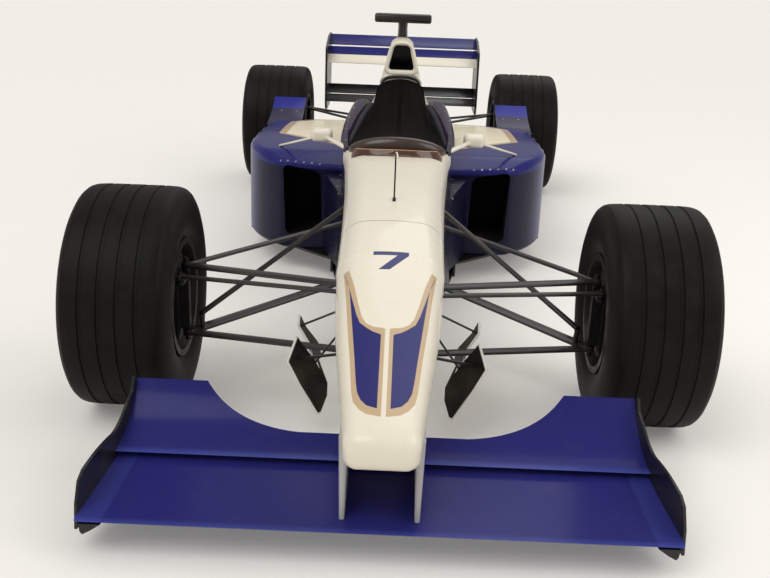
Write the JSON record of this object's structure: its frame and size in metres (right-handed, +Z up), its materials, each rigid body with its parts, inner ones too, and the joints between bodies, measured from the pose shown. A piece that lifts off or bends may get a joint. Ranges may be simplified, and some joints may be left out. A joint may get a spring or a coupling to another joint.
{
  "type": "open wheel racing car",
  "caption": "Open wheel single-seat racing car with front and rear wings, side pods, a covered cockpit, steered front wheels and free-turning wheels.",
  "frame": {"origin": "on the ground under the middle of the car's overall box", "axes": "+X towards the driver's left side, +Y rearwards along the car, +Z up"},
  "size_m": [1.795, 4.51, 1.048],
  "materials": {
    "body_white": "gloss",
    "body_blue": "gloss",
    "carbon": "satin",
    "pylon_grey": "satin",
    "plank_wood": "matte",
    "tyre_rubber": "satin",
    "wheel_metal": "satin",
    "upright_metal": "satin",
    "shaft_steel": "satin",
    "casting": "matte",
    "core_metal": "matte",
    "exhaust_metal": "satin",
    "cover_fabric": "matte",
    "screen_smoke": "gloss",
    "light_red": "gloss"
  },
  "bodies": {
    "chassis": {"airbox": "body_white", "antenna": "carbon", "beam_wing": "carbon", "camera_pod": "carbon", "cockpit_cover": "cover_fabric", "cockpit_surround": "body_blue", "crash_structure": "carbon", "diffuser": "carbon", "engine_block": "casting", "engine_cover": "body_white", "exhausts": "exhaust_metal", "flip_ups": "body_blue", "floor": "carbon", "front_endplates": "carbon", "front_lower_wishbones": "carbon", "front_pushrods": "carbon", "front_upper_wishbones": "carbon", "front_wing_flap": "body_blue", "front_wing_main": "body_blue", "gearbox": "casting", "mirrors": "body_white", "monocoque": "body_white", "nose_cone": "body_white", "plank": "plank_wood", "radiators": "core_metal", "rear_endplates": "carbon", "rear_light": "light_red", "rear_pushrods": "carbon", "rear_uprights": "upright_metal", "rear_wing_flap": "body_blue", "rear_wing_main": "body_blue", "rear_wishbones": "carbon", "sidepod_left": "body_blue", "sidepod_right": "body_blue", "turning_vanes": "carbon", "windscreen": "screen_smoke", "wing_pylons": "pylon_grey"},
    "rack": {"steering_links": "carbon"},
    "upright_left": {"front_upright_left": "upright_metal"},
    "upright_right": {"front_upright_right": "upright_metal"},
    "front_wheel_left": {"front_tyre_left": "tyre_rubber", "front_rim_left": "wheel_metal"},
    "front_wheel_right": {"front_tyre_right": "tyre_rubber", "front_rim_right": "wheel_metal"},
    "rear_wheel_left": {"rear_tyre_left": "tyre_rubber", "rear_rim_left": "wheel_metal", "driveshaft_left": "shaft_steel"},
    "rear_wheel_right": {"rear_tyre_right": "tyre_rubber", "rear_rim_right": "wheel_metal", "driveshaft_right": "shaft_steel"}
  },
  "joints": [
    {"name": "steer_left", "type": "hinge", "parent": "chassis", "child": "upright_left", "pos_m": [0.6, -1.385, 0.325], "axis": [0, 0, 1], "range_deg": [-14, 14]},
    {"name": "steer_right", "type": "hinge", "parent": "chassis", "child": "upright_right", "pos_m": [-0.6, -1.385, 0.325], "axis": [0, 0, 1], "range_deg": [-14, 14]},
    {"name": "rack_slide", "type": "slide", "parent": "chassis", "child": "rack", "axis": [1, 0, 0], "range_m": [-0.0209, 0.0209]},
    {"name": "front_wheel_left_spin", "type": "hinge", "parent": "upright_left", "child": "front_wheel_left", "pos_m": [0.745, -1.385, 0.325], "axis": [1, 0, 0], "continuous": true},
    {"name": "front_wheel_right_spin", "type": "hinge", "parent": "upright_right", "child": "front_wheel_right", "pos_m": [-0.745, -1.385, 0.325], "axis": [1, 0, 0], "continuous": true},
    {"name": "rear_wheel_left_spin", "type": "hinge", "parent": "chassis", "child": "rear_wheel_left", "pos_m": [0.715, 1.755, 0.33], "axis": [1, 0, 0], "continuous": true},
    {"name": "rear_wheel_right_spin", "type": "hinge", "parent": "chassis", "child": "rear_wheel_right", "pos_m": [-0.715, 1.755, 0.33], "axis": [1, 0, 0], "continuous": true}
  ],
  "couplings": [
    {"joint": "steer_right", "follows": "steer_left", "ratio": 1},
    {"joint": "rack_slide", "follows": "steer_left", "m_per_rad": 0.085}
  ]
}
